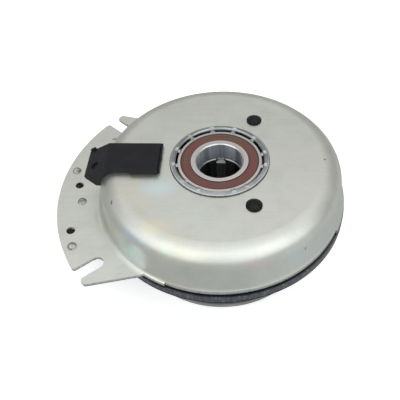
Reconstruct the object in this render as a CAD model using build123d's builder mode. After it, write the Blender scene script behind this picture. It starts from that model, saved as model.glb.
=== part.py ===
"""Electromagnetic clutch-brake for a mower drive, field side up.

The clutch stands on the lower end of its rotor hub. The origin is on the shaft axis at that end,
+Z points up towards the engine, and -X towards the flange and its connector. Millimetres.
"""

import os
from math import asin, atan2, cos, degrees, hypot, radians, sin, tan

from build123d import *

os.makedirs("parts", exist_ok=True)

# ---- Driving dimensions ----

# Shaft bore, 1-1/8 inch with a 1/4 inch key
bore_radius = 28.575 / 2
key_width = 6.35
key_top = 17.2
key_stop_face = 14.3
key_stop_low = 44.0
key_stop_top = 59.3
key_stop_corner = 2.4
hub_length = 63.0
edge_chamfer = 0.7

# Field bearing, 30 x 55 x 13
field_bearing_bore = 15.0
field_bearing_outer = 27.5
field_bearing_width = 13.0
field_inner_shoulder = 18.5
field_outer_shoulder = 25.3
field_pitch_radius = 21.25
field_ball_radius = 4.4
field_ball_count = 11

# Pulley bearing, 40 x 68 x 15
pulley_bearing_bore = 20.0
pulley_bearing_outer = 34.0
pulley_bearing_width = 15.0
pulley_inner_shoulder = 23.8
pulley_outer_shoulder = 30.2
pulley_pitch_radius = 27.0
pulley_ball_radius = 3.8
pulley_ball_count = 12
pulley_bearing_low = 6.0

# Inside both bearings
race_chamfer = 0.6
groove_clearance = 0.35
pocket_clearance = 0.1
seal_thickness = 1.1
seal_recess = 0.3
seal_lip_clearance = 0.3
seal_bead = 1.0
seal_bead_slope = 0.3
cage_half_width = 1.5
cage_overhang = 0.4
field_cage_radii = (19.7, 22.8)
pulley_cage_radii = (25.5, 28.5)

# Field shell, one deep drawing of sheet steel
sheet = 2.3
shell_top = 76.3
shell_flat_radius = 65.6
shoulder_radius = 12.6
wall_flare = 7.5
flange_top = 47.2
foot_fillet = 4.0
lip_radius = 81.8
lip_trim_radius = 80.9
lip_trim_start = -24.4
lip_trim_end = -112.0
flange_radius = 110.8
finger_corner_angle = 44.3
finger_root = (-38.0, 67.5)
slot_angle = 39.5
slot_width = 8.7
slot_depth_radius = 92.0
outline_corner = 2.0

# Flange features as (x, y)
rivet_places = [(-102.9, 17.1), (-93.4, -11.6), (-92.4, -49.2)]
flange_hole_places = [(-98.1, 3.2), (-95.9, -36.6)]
flange_hole_radius = 2.9

# Bearing carrier, which is also the inner pole
collar_radius = 32.0
collar_top = 78.0
collar_edge_top = 77.3
collar_bore = 28.3
collar_outer_chamfer = 0.4
collar_inner_chamfer = 0.8
collar_groove_low = 70.0
pole_radius = 35.8
pole_bore = 25.5
pole_low = 51.5
stake_angles = (12, 42, 73, 102, 133, 163, 190, 222, 246, 290, 307, 350)
stake_width = 3.4
stake_inner = 26.9
stake_outer = 28.9
stake_top = 77.1
punch_width = 3.2
punch_mouth = (28.0, 31.2)
punch_floor = (28.8, 30.5)
punch_low = 76.9

# Coil
bobbin_low = 52.0
bobbin_outer = 70.0
bobbin_wall = 2.0
winding_outer = 62.0
potting_chamfer = 5.0
plug_place = 44.0
plug_angle = 60.0
plug_stem_radius = 3.6
plug_foot_radius = 5.05
plug_foot_height = 0.7
plug_cap_radius = 4.35
plug_cap_height = 2.8

# Rotor
rotor_face = 44.45
rotor_thickness = 6.0
rotor_bore = 24.0
rotor_seat_radius = 29.0
rotor_seat_low = 39.0
rotor_radius = 75.0
rotor_rim_wall = 3.0
rotor_rim_top = 57.0
hub_nose_radius = 18.3
hub_cone_rise = 2.0
flux_slot_rows = (45.5, 63.5)
flux_slot_width = 3.0
flux_slot_count = 4
flux_slot_span = 72.0
flux_slot_middle = 45.0
friction_inner = 50.0
friction_outer = 59.0
friction_depth = 3.0

# Armature, which travels up to the rotor
armature_low = 38.2
armature_thickness = 5.8
armature_inner = 40.0
armature_outer = 82.3
armature_chamfer = 0.5
armature_slot_radius = 54.5
armature_slot_span = 40.0
armature_slot_middle = 83.0

# Leaf springs, from a boss on the pulley to a rivet in the armature
spring_count = 3
spring_turn = 15.0
spring_boss_place = 52.0
spring_end_place = 56.0
spring_reach = 45.0
spring_width = 13.0
spring_thickness = 1.0
boss_radius = 7.5
spring_rivet_radius = 2.5
spring_head_radius = 4.5
spring_head_height = 1.8
spring_head_clearance = 6.5
boss_rivet_low = 27.0
sunk_head_radius = 4.2
sunk_head_depth = 1.7
sunk_below_face = 0.8

# Pulley for a 5/8 inch V-belt
pulley_radius = 63.5
pulley_low = 1.0
pulley_top = 30.0
pulley_mouth = 31.5
pulley_shoulder_bore = 34.6
pulley_shoulder_chamfer = 2.0
belt_groove_width = 16.8
belt_groove_depth = 13.0
belt_groove_half_angle = 18.0
pocket_inner = 39.0
pocket_outer = 45.5
pocket_top = 20.0
pocket_draft = 1.0

# Snap rings
snap_thickness = 1.75
hub_snap_groove = 19.0
hub_snap_outer = 22.3
pulley_snap_groove = 35.8
pulley_snap_inner = 32.2
snap_gap = 24.0
snap_lug_radius = 2.2
snap_lug_hole = 1.0

# Brake under the flange
brake_middle = 187.6
brake_span = 45.3
lining_span = 40.0
shoe_inner = 69.0
shoe_outer = 108.0
shoe_low = 30.0
shoe_thickness = 4.0
shoe_corner = 3.0
lining_outer = 82.0
lining_corner = 1.0
lining_gap = 0.05
spacer_radius = 4.5
shim_radius = 6.0
shim_thickness = 0.5
rivet_radius = 2.25
rivet_head_radius = 3.1
rivet_head_height = 2.2

# Connector
housing_half_width = 12.4
housing_step = 1.0
housing_step_end = -56.0
housing_inner_end = -38.5
housing_top = 80.8
end_lip_reach = 1.2
end_lip_half_width = 12.2
end_lip_top = 79.0
slope_start = (-72.4, housing_top)
nose_top = (-86.5, 73.0)
nose_tip = (-86.0, 71.0)
nose_low = (-80.3, 64.4)
housing_bevel = 2.0
stem_radius = 7.0
mouth_middle = (-83.7, 68.3)
mouth_width = 19.0
mouth_height = 5.0
mouth_depth = 6.5
mouth_corner = 1.0
latch_place = (0.6, 6.3)
latch_radius = 2.8
latch_depth = 1.0
bump_place = (5.2, -10.6)
bump_length = 4.4
bump_width = 2.2
bump_height = 1.0
blade_width = 6.3
blade_thickness = 0.8
blade_length = 8.0
blade_root = 9.0
blade_places = (-4.8, 4.8)
lead_radius = 0.8
lead_height = 78.5
lead_bend = 1.4

# Cutters reach this far past the faces they cut
overcut = 1.0

# ---- Heights and angles worked out from them ----

flange_low = flange_top - sheet
shell_inside_top = shell_top - sheet
field_bearing_middle = hub_length + field_bearing_width / 2
pulley_bearing_top = pulley_bearing_low + pulley_bearing_width
pulley_bearing_middle = pulley_bearing_low + pulley_bearing_width / 2
snap_low = pulley_bearing_low - snap_thickness
rotor_top = rotor_face + rotor_thickness
armature_top = armature_low + armature_thickness
spring_low = armature_low - spring_thickness
shoe_top = shoe_low + shoe_thickness
shim_low = flange_low - shim_thickness
winding_inner = pole_radius + bobbin_wall
winding_low = bobbin_low + bobbin_wall
winding_top = shell_inside_top - bobbin_wall
mouth_slant = atan2(nose_tip[1] - nose_low[1], nose_low[0] - nose_tip[0])
mouth_outward = (-sin(mouth_slant), 0, -cos(mouth_slant))
nose_slant = atan2(slope_start[1] - nose_top[1], slope_start[0] - nose_top[0])


# ---- Helpers: each draws in the block that calls it ----


def polar(radius, angle):
    """Point in plan at a radius and an angle in degrees."""
    return (radius * cos(radians(angle)), radius * sin(radians(angle)))


def ring_places(radius, count, start):
    """Evenly spaced points in plan."""
    return [polar(radius, start + 360 / count * i) for i in range(count)]


def turned(points):
    """Solid of revolution about the axis from (radius, height) points."""
    with BuildSketch(Plane.XZ) as section:
        with BuildLine():
            Polyline(*points, close=True)
        make_face()
    revolve(section.sketch, axis=Axis.Z)


def radial_plane(angle):
    """Upright plane through the axis: its x runs outwards at an angle, and its y is height."""
    x, y = polar(1, angle)
    return Plane(origin=(0, 0, 0), x_dir=(x, y, 0), z_dir=(y, -x, 0))


def rim_plane(radius, angle):
    """Upright plane across a radius: its x runs along the rim, its y is height."""
    x, y = polar(1, angle)
    return Plane(origin=(radius * x, radius * y, 0), x_dir=(-y, x, 0), z_dir=(x, y, 0))


def stakes(low):
    """Rounded tongues of metal pushed in over the bearing, standing at a height."""
    for angle in stake_angles:
        with BuildSketch(rim_plane(stake_inner, angle)) as section:
            with BuildLine():
                ThreePointArc((-stake_width / 2, low), (0, stake_top), (stake_width / 2, low))
                Line((stake_width / 2, low), (-stake_width / 2, low))
            make_face()
        extrude(section.sketch, amount=stake_outer - stake_inner)


def punch_marks(points):
    """The same (radius, height) section cut behind every stake."""
    for angle in stake_angles:
        with BuildSketch(radial_plane(angle)) as section:
            with BuildLine():
                Polyline(*points, close=True)
            make_face()
        extrude(section.sketch, amount=punch_width / 2, both=True, mode=Mode.SUBTRACT)


def washer(inner, outer, low, high, mode=Mode.ADD):
    """Flat ring on the axis."""
    with BuildSketch(Plane.XY.offset(low)) as plan:
        Circle(outer)
        Circle(inner, mode=Mode.SUBTRACT)
    extrude(plan.sketch, amount=high - low, mode=mode)


def posts(places, radius, low, high, mode=Mode.ADD):
    """Round posts, or holes, along Z at a list of places."""
    with BuildSketch(Plane.XY.offset(low)) as plan:
        with Locations(*places):
            Circle(radius)
    extrude(plan.sketch, amount=high - low, mode=mode)


def domed_heads(places, radius, height, base):
    """Spherical rivet heads on a plane: a negative height hangs them below it."""
    rise = abs(height)
    side = 1 if height > 0 else -1
    sphere = (radius**2 + rise**2) / (2 * rise)
    cap = degrees(asin(radius / sphere))
    first = 90 - cap if side > 0 else -90
    for x, y in places:
        with BuildSketch(Plane((x, y, base), x_dir=(1, 0, 0), z_dir=(0, -1, 0))) as section:
            with BuildLine():
                Line((0, 0), (radius, 0))
                CenterArc((0, side * (rise - sphere)), sphere, first, cap)
                Line((0, height), (0, 0))
            make_face()
        revolve(section.sketch, axis=Axis((x, y, base), (0, 0, 1)))


def sector(inner, outer, low, high, middle, span, corner):
    """Part of a flat ring, centred on an angle, with rounded corners."""
    start = middle - span / 2
    with BuildSketch(Plane.XY.offset(low)) as plan:
        with BuildLine():
            CenterArc((0, 0), outer, start, span)
            CenterArc((0, 0), inner, start, span)
            Line(polar(inner, start), polar(outer, start))
            Line(polar(inner, start + span), polar(outer, start + span))
        make_face()
        fillet(plan.vertices(), corner)
    extrude(plan.sketch, amount=high - low)


def arc_slots(radius, width, span, count, middle, low, high):
    """Row of curved slots cut along Z."""
    with BuildSketch(Plane.XY.offset(low)) as plan:
        for i in range(count):
            start = middle + 360 / count * i - span / 2
            SlotArc(CenterArc((0, 0), radius, start, span, mode=Mode.PRIVATE), width)
    extrude(plan.sketch, amount=high - low, mode=Mode.SUBTRACT)


def race(inner, outer, low, width, pitch, ball):
    """Bearing race with its ball groove: the side nearer the pitch circle carries the groove."""
    outside = outer if inner > pitch else inner
    step = race_chamfer if inner > pitch else -race_chamfer
    faced = inner if inner > pitch else outer
    high = low + width
    with BuildSketch(Plane.XZ) as section:
        with BuildLine():
            Polyline(
                (faced, low),
                (outside - step, low),
                (outside, low + race_chamfer),
                (outside, high - race_chamfer),
                (outside - step, high),
                (faced, high),
                close=True,
            )
        make_face()
        with Locations((pitch, low + width / 2)):
            Circle(ball + groove_clearance, mode=Mode.SUBTRACT)
    revolve(section.sketch, axis=Axis.Z)


def seal(shoulder_in, shoulder_out, face, direction):
    """Dished seal: direction is +1 for the upper side and -1 for the lower."""
    outer_face = face - direction * seal_recess
    inner_face = outer_face - direction * seal_thickness
    lip = shoulder_in + seal_lip_clearance
    dish = direction * seal_recess
    turned(
        [
            (lip, inner_face),
            (lip, outer_face),
            (lip + seal_bead, outer_face),
            (lip + seal_bead + seal_bead_slope, outer_face - dish),
            (shoulder_out - seal_bead - seal_bead_slope, outer_face - dish),
            (shoulder_out - seal_bead, outer_face),
            (shoulder_out, outer_face),
            (shoulder_out, inner_face),
        ]
    )


def balls(pitch, ball, count, middle):
    """Balls of a bearing."""
    with Locations((0, 0, middle)):
        with PolarLocations(pitch, count):
            Sphere(ball)


def crown_cage(radii, pitch, ball, count, middle):
    """Ring below the balls with a pocket round each."""
    inner, outer = radii
    washer(inner, outer, middle - ball - cage_overhang, middle + cage_half_width)
    with Locations((0, 0, middle)):
        with PolarLocations(pitch, count):
            Sphere(ball + pocket_clearance, mode=Mode.SUBTRACT)


def snap_ring(inner, outer, lug_place, middle):
    """Open retaining ring with a drilled lug at each end."""
    first = middle + snap_gap / 2
    with BuildSketch(Plane.XY.offset(snap_low)) as plan:
        with BuildLine():
            CenterArc((0, 0), outer, first, 360 - snap_gap)
            CenterArc((0, 0), inner, first, 360 - snap_gap)
            Line(polar(inner, first), polar(outer, first))
            Line(polar(inner, first - snap_gap), polar(outer, first - snap_gap))
        make_face()
        lugs = [polar(lug_place, middle + side * snap_gap / 2) for side in (-1, 1)]
        with Locations(*lugs):
            Circle(snap_lug_radius)
            Circle(snap_lug_hole, mode=Mode.SUBTRACT)
    extrude(plan.sketch, amount=snap_thickness)


def dome_section(inset):
    """Half section of the shell's dome and foot as a line, inset from its outer surface."""
    flare = radians(wall_flare)
    normal = (cos(flare), sin(flare))
    centre = (shell_flat_radius, shell_top - shoulder_radius)
    foot_height = flange_top + foot_fillet
    drop = centre[1] - foot_height
    reach = (shoulder_radius + foot_fillet + drop * sin(flare)) / cos(flare)
    foot = (centre[0] + reach, foot_height)
    bend = shoulder_radius - inset
    hollow = foot_fillet + inset
    CenterArc(centre, bend, wall_flare, 90 - wall_flare)
    Line(
        (centre[0] + bend * normal[0], centre[1] + bend * normal[1]),
        (foot[0] - hollow * normal[0], foot[1] - hollow * normal[1]),
    )
    CenterArc(foot, hollow, 180 + wall_flare, 90 - wall_flare)
    return foot[0]


def dome_envelope(mode):
    """Everything under the shell's outer surface."""
    with BuildSketch(Plane.XZ) as section:
        with BuildLine():
            foot = dome_section(0)
            Line((0, shell_top), (shell_flat_radius, shell_top))
            Polyline((foot, flange_top), (0, flange_top), (0, shell_top))
        make_face()
    revolve(section.sketch, axis=Axis.Z, mode=mode)


def shell_outline():
    """Plan of the shell: the round lip, with the flange and its two open slots on one side."""
    corner = polar(flange_radius, 180 - finger_corner_angle)
    slot_middle = slot_depth_radius + slot_width / 2
    with BuildSketch() as plan:
        with BuildLine():
            CenterArc((0, 0), flange_radius, 180 - finger_corner_angle, 2 * finger_corner_angle)
            Polyline(
                corner,
                finger_root,
                (finger_root[0], -finger_root[1]),
                (corner[0], -corner[1]),
            )
        make_face()
        for angle in (180 - slot_angle, 180 + slot_angle):
            with Locations(Location((*polar(slot_middle, angle), 0), angle)):
                Circle(slot_width / 2, mode=Mode.SUBTRACT)
                Rectangle(
                    flange_radius,
                    slot_width,
                    align=(Align.MIN, Align.CENTER),
                    mode=Mode.SUBTRACT,
                )
        rim_corners = [v for v in plan.vertices() if hypot(v.X, v.Y) > flange_radius - 1]
        fillet(rim_corners, outline_corner)
        Circle(lip_radius)
        with BuildLine():
            trim_span = lip_trim_start - lip_trim_end
            CenterArc((0, 0), lip_trim_radius, lip_trim_end, trim_span)
            CenterArc((0, 0), lip_radius + overcut, lip_trim_end, trim_span)
            for angle in (lip_trim_start, lip_trim_end):
                Line(polar(lip_trim_radius, angle), polar(lip_radius + overcut, angle))
        make_face(mode=Mode.SUBTRACT)
    return plan.sketch


# ---- Field assembly ----

lead_stem_place = (-plug_place, 0)
plug_places = [polar(plug_place, -plug_angle), polar(plug_place, plug_angle)]

with BuildPart() as field_shell:
    with BuildSketch(Plane.XZ):
        with BuildLine():
            foot_radius = dome_section(0)
            dome_section(sheet)
            Polyline(
                (shell_flat_radius, shell_top),
                (collar_radius, shell_top),
                (collar_radius, shell_inside_top),
                (shell_flat_radius, shell_inside_top),
            )
            Polyline(
                (foot_radius, flange_top),
                (flange_radius + overcut, flange_top),
                (flange_radius + overcut, flange_low),
                (foot_radius, flange_low),
            )
        make_face()
    revolve(axis=Axis.Z)
    extrude(shell_outline(), amount=shell_top + overcut, mode=Mode.INTERSECT)
    posts(plug_places, plug_stem_radius, shell_inside_top, shell_top, Mode.SUBTRACT)
    posts([lead_stem_place], stem_radius, shell_inside_top, shell_top, Mode.SUBTRACT)
    posts(rivet_places, rivet_radius, flange_low, flange_top, Mode.SUBTRACT)
    posts(flange_hole_places, flange_hole_radius, flange_low, flange_top, Mode.SUBTRACT)

with BuildPart() as bearing_carrier:
    turned(
        [
            (pole_bore, pole_low),
            (pole_radius, pole_low),
            (pole_radius, shell_inside_top),
            (collar_radius, shell_inside_top),
            (collar_radius, collar_edge_top - collar_outer_chamfer),
            (collar_radius - collar_outer_chamfer, collar_edge_top),
            (collar_bore + collar_inner_chamfer, collar_top),
            (collar_bore, collar_top - collar_inner_chamfer),
            (collar_bore, collar_groove_low),
            (field_bearing_outer, collar_groove_low),
            (field_bearing_outer, hub_length),
            (pole_bore, hub_length),
        ]
    )
    stakes(hub_length + field_bearing_width)
    punch_marks(
        [
            (punch_mouth[0], collar_top + overcut / 4),
            (punch_mouth[1], collar_top + overcut / 4),
            (punch_floor[1], punch_low),
            (punch_floor[0], punch_low),
        ]
    )

with BuildPart() as coil_leads:
    root_x = mouth_middle[0] - mouth_outward[0] * blade_root
    root_z = mouth_middle[1] - mouth_outward[2] * blade_root
    rise_x = root_x + (lead_height - root_z) * mouth_outward[0] / mouth_outward[2]
    for y in blade_places:
        with BuildLine() as route:
            FilletPolyline(
                (-plug_place, y, winding_top),
                (-plug_place, y, lead_height),
                (rise_x, y, lead_height),
                (root_x, y, root_z),
                radius=lead_bend,
            )
        with BuildSketch(Plane((-plug_place, y, winding_top))):
            Circle(lead_radius)
        sweep(path=route.wires()[0])

mouth_plane = Plane(
    origin=(mouth_middle[0], 0, mouth_middle[1]),
    x_dir=(0, 1, 0),
    z_dir=mouth_outward,
)

slope_plane = Plane(
    origin=((slope_start[0] + nose_top[0]) / 2, 0, (slope_start[1] + nose_top[1]) / 2),
    x_dir=(-cos(nose_slant), 0, -sin(nose_slant)),
    z_dir=(-sin(nose_slant), 0, cos(nose_slant)),
)

with BuildPart() as connector_terminals:
    with BuildSketch(mouth_plane.offset(-blade_root)):
        with Locations(*[(y, 0) for y in blade_places]):
            Rectangle(blade_width, blade_thickness)
    extrude(amount=blade_length)

with BuildPart() as connector_housing:
    with BuildSketch(Plane.XZ):
        with BuildLine():
            Polyline(
                (housing_inner_end, shell_inside_top),
                (housing_inner_end, housing_top),
                slope_start,
                nose_top,
                nose_tip,
                nose_low,
                (-shell_flat_radius, shell_top - shoulder_radius),
                close=True,
            )
        make_face()
    extrude(amount=housing_half_width, both=True)
    far_side = connector_housing.faces().sort_by(Axis.Y)[-1]
    far_edges = [e for e in far_side.edges() if min(v.Z for v in e.vertices()) > nose_top[1] - 0.1]
    top_edges = [e for e in far_edges if abs(e.vertices()[0].X - e.vertices()[1].X) > 1]
    chamfer(top_edges, housing_bevel)
    with BuildSketch(Plane.XY.offset(shell_inside_top)):
        with Locations((housing_inner_end, -housing_half_width)):
            Rectangle(
                housing_inner_end - housing_step_end,
                2 * housing_step,
                align=(Align.MAX, Align.CENTER),
            )
    extrude(amount=housing_top - shell_inside_top)
    with BuildSketch(Plane.XY.offset(shell_inside_top)):
        with Locations((housing_inner_end, 0)):
            Rectangle(2 * end_lip_reach, 2 * end_lip_half_width)
    extrude(amount=end_lip_top - shell_inside_top)
    dome_envelope(Mode.SUBTRACT)
    posts([lead_stem_place], stem_radius, shell_inside_top, shell_top + overcut)
    with BuildSketch(mouth_plane):
        RectangleRounded(mouth_width, mouth_height, mouth_corner)
    extrude(amount=-mouth_depth, mode=Mode.SUBTRACT)
    with BuildSketch(slope_plane):
        with Locations(latch_place):
            Circle(latch_radius)
    extrude(amount=-latch_depth, mode=Mode.SUBTRACT)
    with BuildSketch(slope_plane):
        with Locations(bump_place):
            SlotOverall(bump_length, bump_width)
    extrude(amount=bump_height)
    add(coil_leads.part, mode=Mode.SUBTRACT)
    add(connector_terminals.part, mode=Mode.SUBTRACT)

with BuildPart() as coil_bobbin:
    turned(
        [
            (pole_radius, bobbin_low),
            (bobbin_outer, bobbin_low),
            (bobbin_outer, winding_low),
            (winding_inner, winding_low),
            (winding_inner, winding_top),
            (winding_outer, winding_top),
            (winding_outer, shell_inside_top),
            (pole_radius, shell_inside_top),
        ]
    )
    posts(plug_places, plug_stem_radius, winding_top, shell_inside_top, Mode.SUBTRACT)
    add(coil_leads.part, mode=Mode.SUBTRACT)

with BuildPart() as coil_winding:
    washer(winding_inner, winding_outer, winding_low, winding_top)

with BuildPart() as coil_potting:
    turned(
        [
            (winding_outer, winding_low),
            (bobbin_outer, winding_low),
            (bobbin_outer, shell_inside_top - potting_chamfer),
            (bobbin_outer - potting_chamfer, shell_inside_top),
            (winding_outer, shell_inside_top),
        ]
    )

with BuildPart() as coil_plugs:
    posts(plug_places, plug_stem_radius, winding_top, shell_top)
    posts(plug_places, plug_foot_radius, shell_top, shell_top + plug_foot_height)
    domed_heads(plug_places, plug_cap_radius, plug_cap_height, shell_top + plug_foot_height)

with BuildPart() as field_bearing_outer_race:
    race(
        field_outer_shoulder,
        field_bearing_outer,
        hub_length,
        field_bearing_width,
        field_pitch_radius,
        field_ball_radius,
    )

with BuildPart() as field_bearing_upper_seal:
    seal(field_inner_shoulder, field_outer_shoulder, hub_length + field_bearing_width, 1)

with BuildPart() as field_bearing_lower_seal:
    seal(field_inner_shoulder, field_outer_shoulder, hub_length, -1)

with BuildPart() as flange_rivets:
    posts(rivet_places, rivet_radius, shoe_low, flange_top)
    domed_heads(rivet_places, rivet_head_radius, rivet_head_height, flange_top)
    domed_heads(rivet_places, rivet_head_radius, -rivet_head_height, shoe_low)

with BuildPart() as brake_spacers:
    posts(rivet_places, spacer_radius, shoe_top, shim_low)
    posts(rivet_places, rivet_radius, shoe_top, shim_low, Mode.SUBTRACT)

with BuildPart() as brake_shims:
    posts(rivet_places, shim_radius, shim_low, flange_low)
    with BuildSketch(Plane.XY.offset(shim_low)):
        for x, y in rivet_places:
            with Locations(Location((x, y, 0), degrees(atan2(y, x)))):
                Circle(rivet_radius)
                Rectangle(2 * shim_radius, 2 * rivet_radius, align=(Align.MIN, Align.CENTER))
    extrude(amount=shim_thickness, mode=Mode.SUBTRACT)

with BuildPart() as brake_shoe:
    sector(shoe_inner, shoe_outer, shoe_low, shoe_top, brake_middle, brake_span, shoe_corner)
    posts(rivet_places, rivet_radius, shoe_low, shoe_top, Mode.SUBTRACT)

with BuildPart() as brake_lining:
    lining_top = armature_low - lining_gap
    sector(
        shoe_inner, lining_outer, shoe_top, lining_top, brake_middle, lining_span, lining_corner
    )

# ---- Rotor, which turns with the shaft ----

with BuildPart() as rotor_hub:
    turned(
        [
            (bore_radius + edge_chamfer, 0),
            (pulley_bearing_bore - edge_chamfer, 0),
            (pulley_bearing_bore, edge_chamfer),
            (pulley_bearing_bore, snap_low),
            (hub_snap_groove, snap_low),
            (hub_snap_groove, pulley_bearing_low),
            (pulley_bearing_bore, pulley_bearing_low),
            (pulley_bearing_bore, pulley_bearing_top),
            (rotor_bore, pulley_bearing_top),
            (rotor_bore, rotor_seat_low),
            (rotor_seat_radius, rotor_seat_low),
            (rotor_seat_radius, rotor_face),
            (rotor_bore, rotor_face),
            (rotor_bore, rotor_top),
            (hub_nose_radius, rotor_top + hub_cone_rise),
            (hub_nose_radius, hub_length - edge_chamfer),
            (hub_nose_radius - edge_chamfer, hub_length),
            (field_bearing_bore, hub_length),
            (bore_radius, hub_length - edge_chamfer),
            (bore_radius, edge_chamfer),
        ]
    )
    with BuildSketch():
        Rectangle(key_width, key_top, align=(Align.CENTER, Align.MIN))
    extrude(amount=hub_length, mode=Mode.SUBTRACT)

with BuildPart() as key_stop:
    with BuildSketch(Plane.XY.offset(key_stop_low)) as section:
        with Locations((0, key_stop_face)):
            Rectangle(key_width, key_top - key_stop_face, align=(Align.CENTER, Align.MIN))
        fillet(section.vertices().group_by(Axis.Y)[-1], key_stop_corner)
    extrude(amount=key_stop_top - key_stop_low)

with BuildPart() as rotor_disc:
    washer(rotor_bore, rotor_radius, rotor_face, rotor_top)
    washer(rotor_radius - rotor_rim_wall, rotor_radius, rotor_top, rotor_rim_top)
    for slot_row in flux_slot_rows:
        arc_slots(
            slot_row,
            flux_slot_width,
            flux_slot_span,
            flux_slot_count,
            flux_slot_middle,
            rotor_face,
            rotor_top,
        )
    washer(friction_inner, friction_outer, rotor_face, rotor_face + friction_depth, Mode.SUBTRACT)

with BuildPart() as rotor_friction_ring:
    washer(friction_inner, friction_outer, rotor_face, rotor_face + friction_depth)

with BuildPart() as field_bearing_inner_race:
    race(
        field_bearing_bore,
        field_inner_shoulder,
        hub_length,
        field_bearing_width,
        field_pitch_radius,
        field_ball_radius,
    )

with BuildPart() as pulley_bearing_inner_race:
    race(
        pulley_bearing_bore,
        pulley_inner_shoulder,
        pulley_bearing_low,
        pulley_bearing_width,
        pulley_pitch_radius,
        pulley_ball_radius,
    )

with BuildPart() as hub_snap_ring:
    snap_ring(hub_snap_groove, hub_snap_outer, hub_snap_outer, 270)

# ---- Balls and cages ----

with BuildPart() as field_bearing_balls:
    balls(field_pitch_radius, field_ball_radius, field_ball_count, field_bearing_middle)

with BuildPart() as field_bearing_cage:
    crown_cage(
        field_cage_radii,
        field_pitch_radius,
        field_ball_radius,
        field_ball_count,
        field_bearing_middle,
    )

with BuildPart() as pulley_bearing_balls:
    balls(pulley_pitch_radius, pulley_ball_radius, pulley_ball_count, pulley_bearing_middle)

with BuildPart() as pulley_bearing_cage:
    crown_cage(
        pulley_cage_radii,
        pulley_pitch_radius,
        pulley_ball_radius,
        pulley_ball_count,
        pulley_bearing_middle,
    )

# ---- Pulley ----

boss_places = ring_places(spring_boss_place, spring_count, spring_turn)
end_places = ring_places(spring_end_place, spring_count, spring_turn + spring_reach)

with BuildPart() as pulley:
    groove_root = pulley_radius - belt_groove_depth
    rim_half = belt_groove_width / 2
    root_half = rim_half - belt_groove_depth * tan(radians(belt_groove_half_angle))
    turned(
        [
            (pulley_shoulder_bore, pulley_low),
            (pulley_shoulder_bore, snap_low),
            (pulley_snap_groove, snap_low),
            (pulley_snap_groove, pulley_bearing_low),
            (pulley_bearing_outer, pulley_bearing_low),
            (pulley_bearing_outer, pulley_bearing_top),
            (pulley_mouth, pulley_bearing_top),
            (pulley_mouth, pulley_top),
            (pulley_radius - pulley_shoulder_chamfer, pulley_top),
            (pulley_radius, pulley_top - pulley_shoulder_chamfer),
            (pulley_radius, pulley_bearing_middle + rim_half),
            (groove_root, pulley_bearing_middle + root_half),
            (groove_root, pulley_bearing_middle - root_half),
            (pulley_radius, pulley_bearing_middle - rim_half),
            (pulley_radius, pulley_low + edge_chamfer),
            (pulley_radius - edge_chamfer, pulley_low),
            (pocket_outer, pulley_low),
            (pocket_outer - pocket_draft, pocket_top),
            (pocket_inner + pocket_draft, pocket_top),
            (pocket_inner, pulley_low),
        ]
    )
    posts(boss_places, boss_radius, pulley_top, spring_low)
    posts(boss_places, spring_rivet_radius, boss_rivet_low, spring_low, Mode.SUBTRACT)

with BuildPart() as pulley_bearing_outer_race:
    race(
        pulley_outer_shoulder,
        pulley_bearing_outer,
        pulley_bearing_low,
        pulley_bearing_width,
        pulley_pitch_radius,
        pulley_ball_radius,
    )

with BuildPart() as pulley_bearing_upper_seal:
    seal(pulley_inner_shoulder, pulley_outer_shoulder, pulley_bearing_top, 1)

with BuildPart() as pulley_bearing_lower_seal:
    seal(pulley_inner_shoulder, pulley_outer_shoulder, pulley_bearing_low, -1)

with BuildPart() as pulley_snap_ring:
    snap_ring(pulley_snap_inner, pulley_snap_groove, pulley_snap_inner, 90)

with BuildPart() as leaf_springs:
    with BuildSketch(Plane.XY.offset(spring_low)):
        for (x1, y1), (x2, y2) in zip(boss_places, end_places):
            with Locations(((x1 + x2) / 2, (y1 + y2) / 2)):
                SlotCenterToCenter(
                    hypot(x2 - x1, y2 - y1),
                    spring_width,
                    rotation=degrees(atan2(y2 - y1, x2 - x1)),
                )
        with Locations(*boss_places, *end_places):
            Circle(spring_rivet_radius, mode=Mode.SUBTRACT)
    extrude(amount=spring_thickness)

with BuildPart() as spring_boss_rivets:
    posts(boss_places, spring_rivet_radius, boss_rivet_low, armature_low)
    domed_heads(boss_places, spring_head_radius, spring_head_height, armature_low)

# ---- Armature ----

sunk_top = armature_top - sunk_below_face
sunk_low = sunk_top - sunk_head_depth

with BuildPart() as armature_disc:
    turned(
        [
            (armature_inner, armature_low),
            (armature_outer - armature_chamfer, armature_low),
            (armature_outer, armature_low + armature_chamfer),
            (armature_outer, armature_top),
            (armature_inner, armature_top),
        ]
    )
    posts(boss_places, spring_head_clearance, armature_low, armature_top, Mode.SUBTRACT)
    posts(end_places, spring_rivet_radius, armature_low, sunk_low, Mode.SUBTRACT)
    posts(end_places, sunk_head_radius, sunk_low, armature_top, Mode.SUBTRACT)
    arc_slots(
        armature_slot_radius,
        flux_slot_width,
        armature_slot_span,
        spring_count,
        spring_turn + armature_slot_middle,
        armature_low,
        armature_top,
    )

with BuildPart() as spring_end_rivets:
    posts(end_places, spring_rivet_radius, spring_low, sunk_low)
    posts(end_places, sunk_head_radius, sunk_low, sunk_top)
    domed_heads(end_places, spring_head_radius, -spring_head_height, spring_low)

# ---- One STEP file per piece ----

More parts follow.
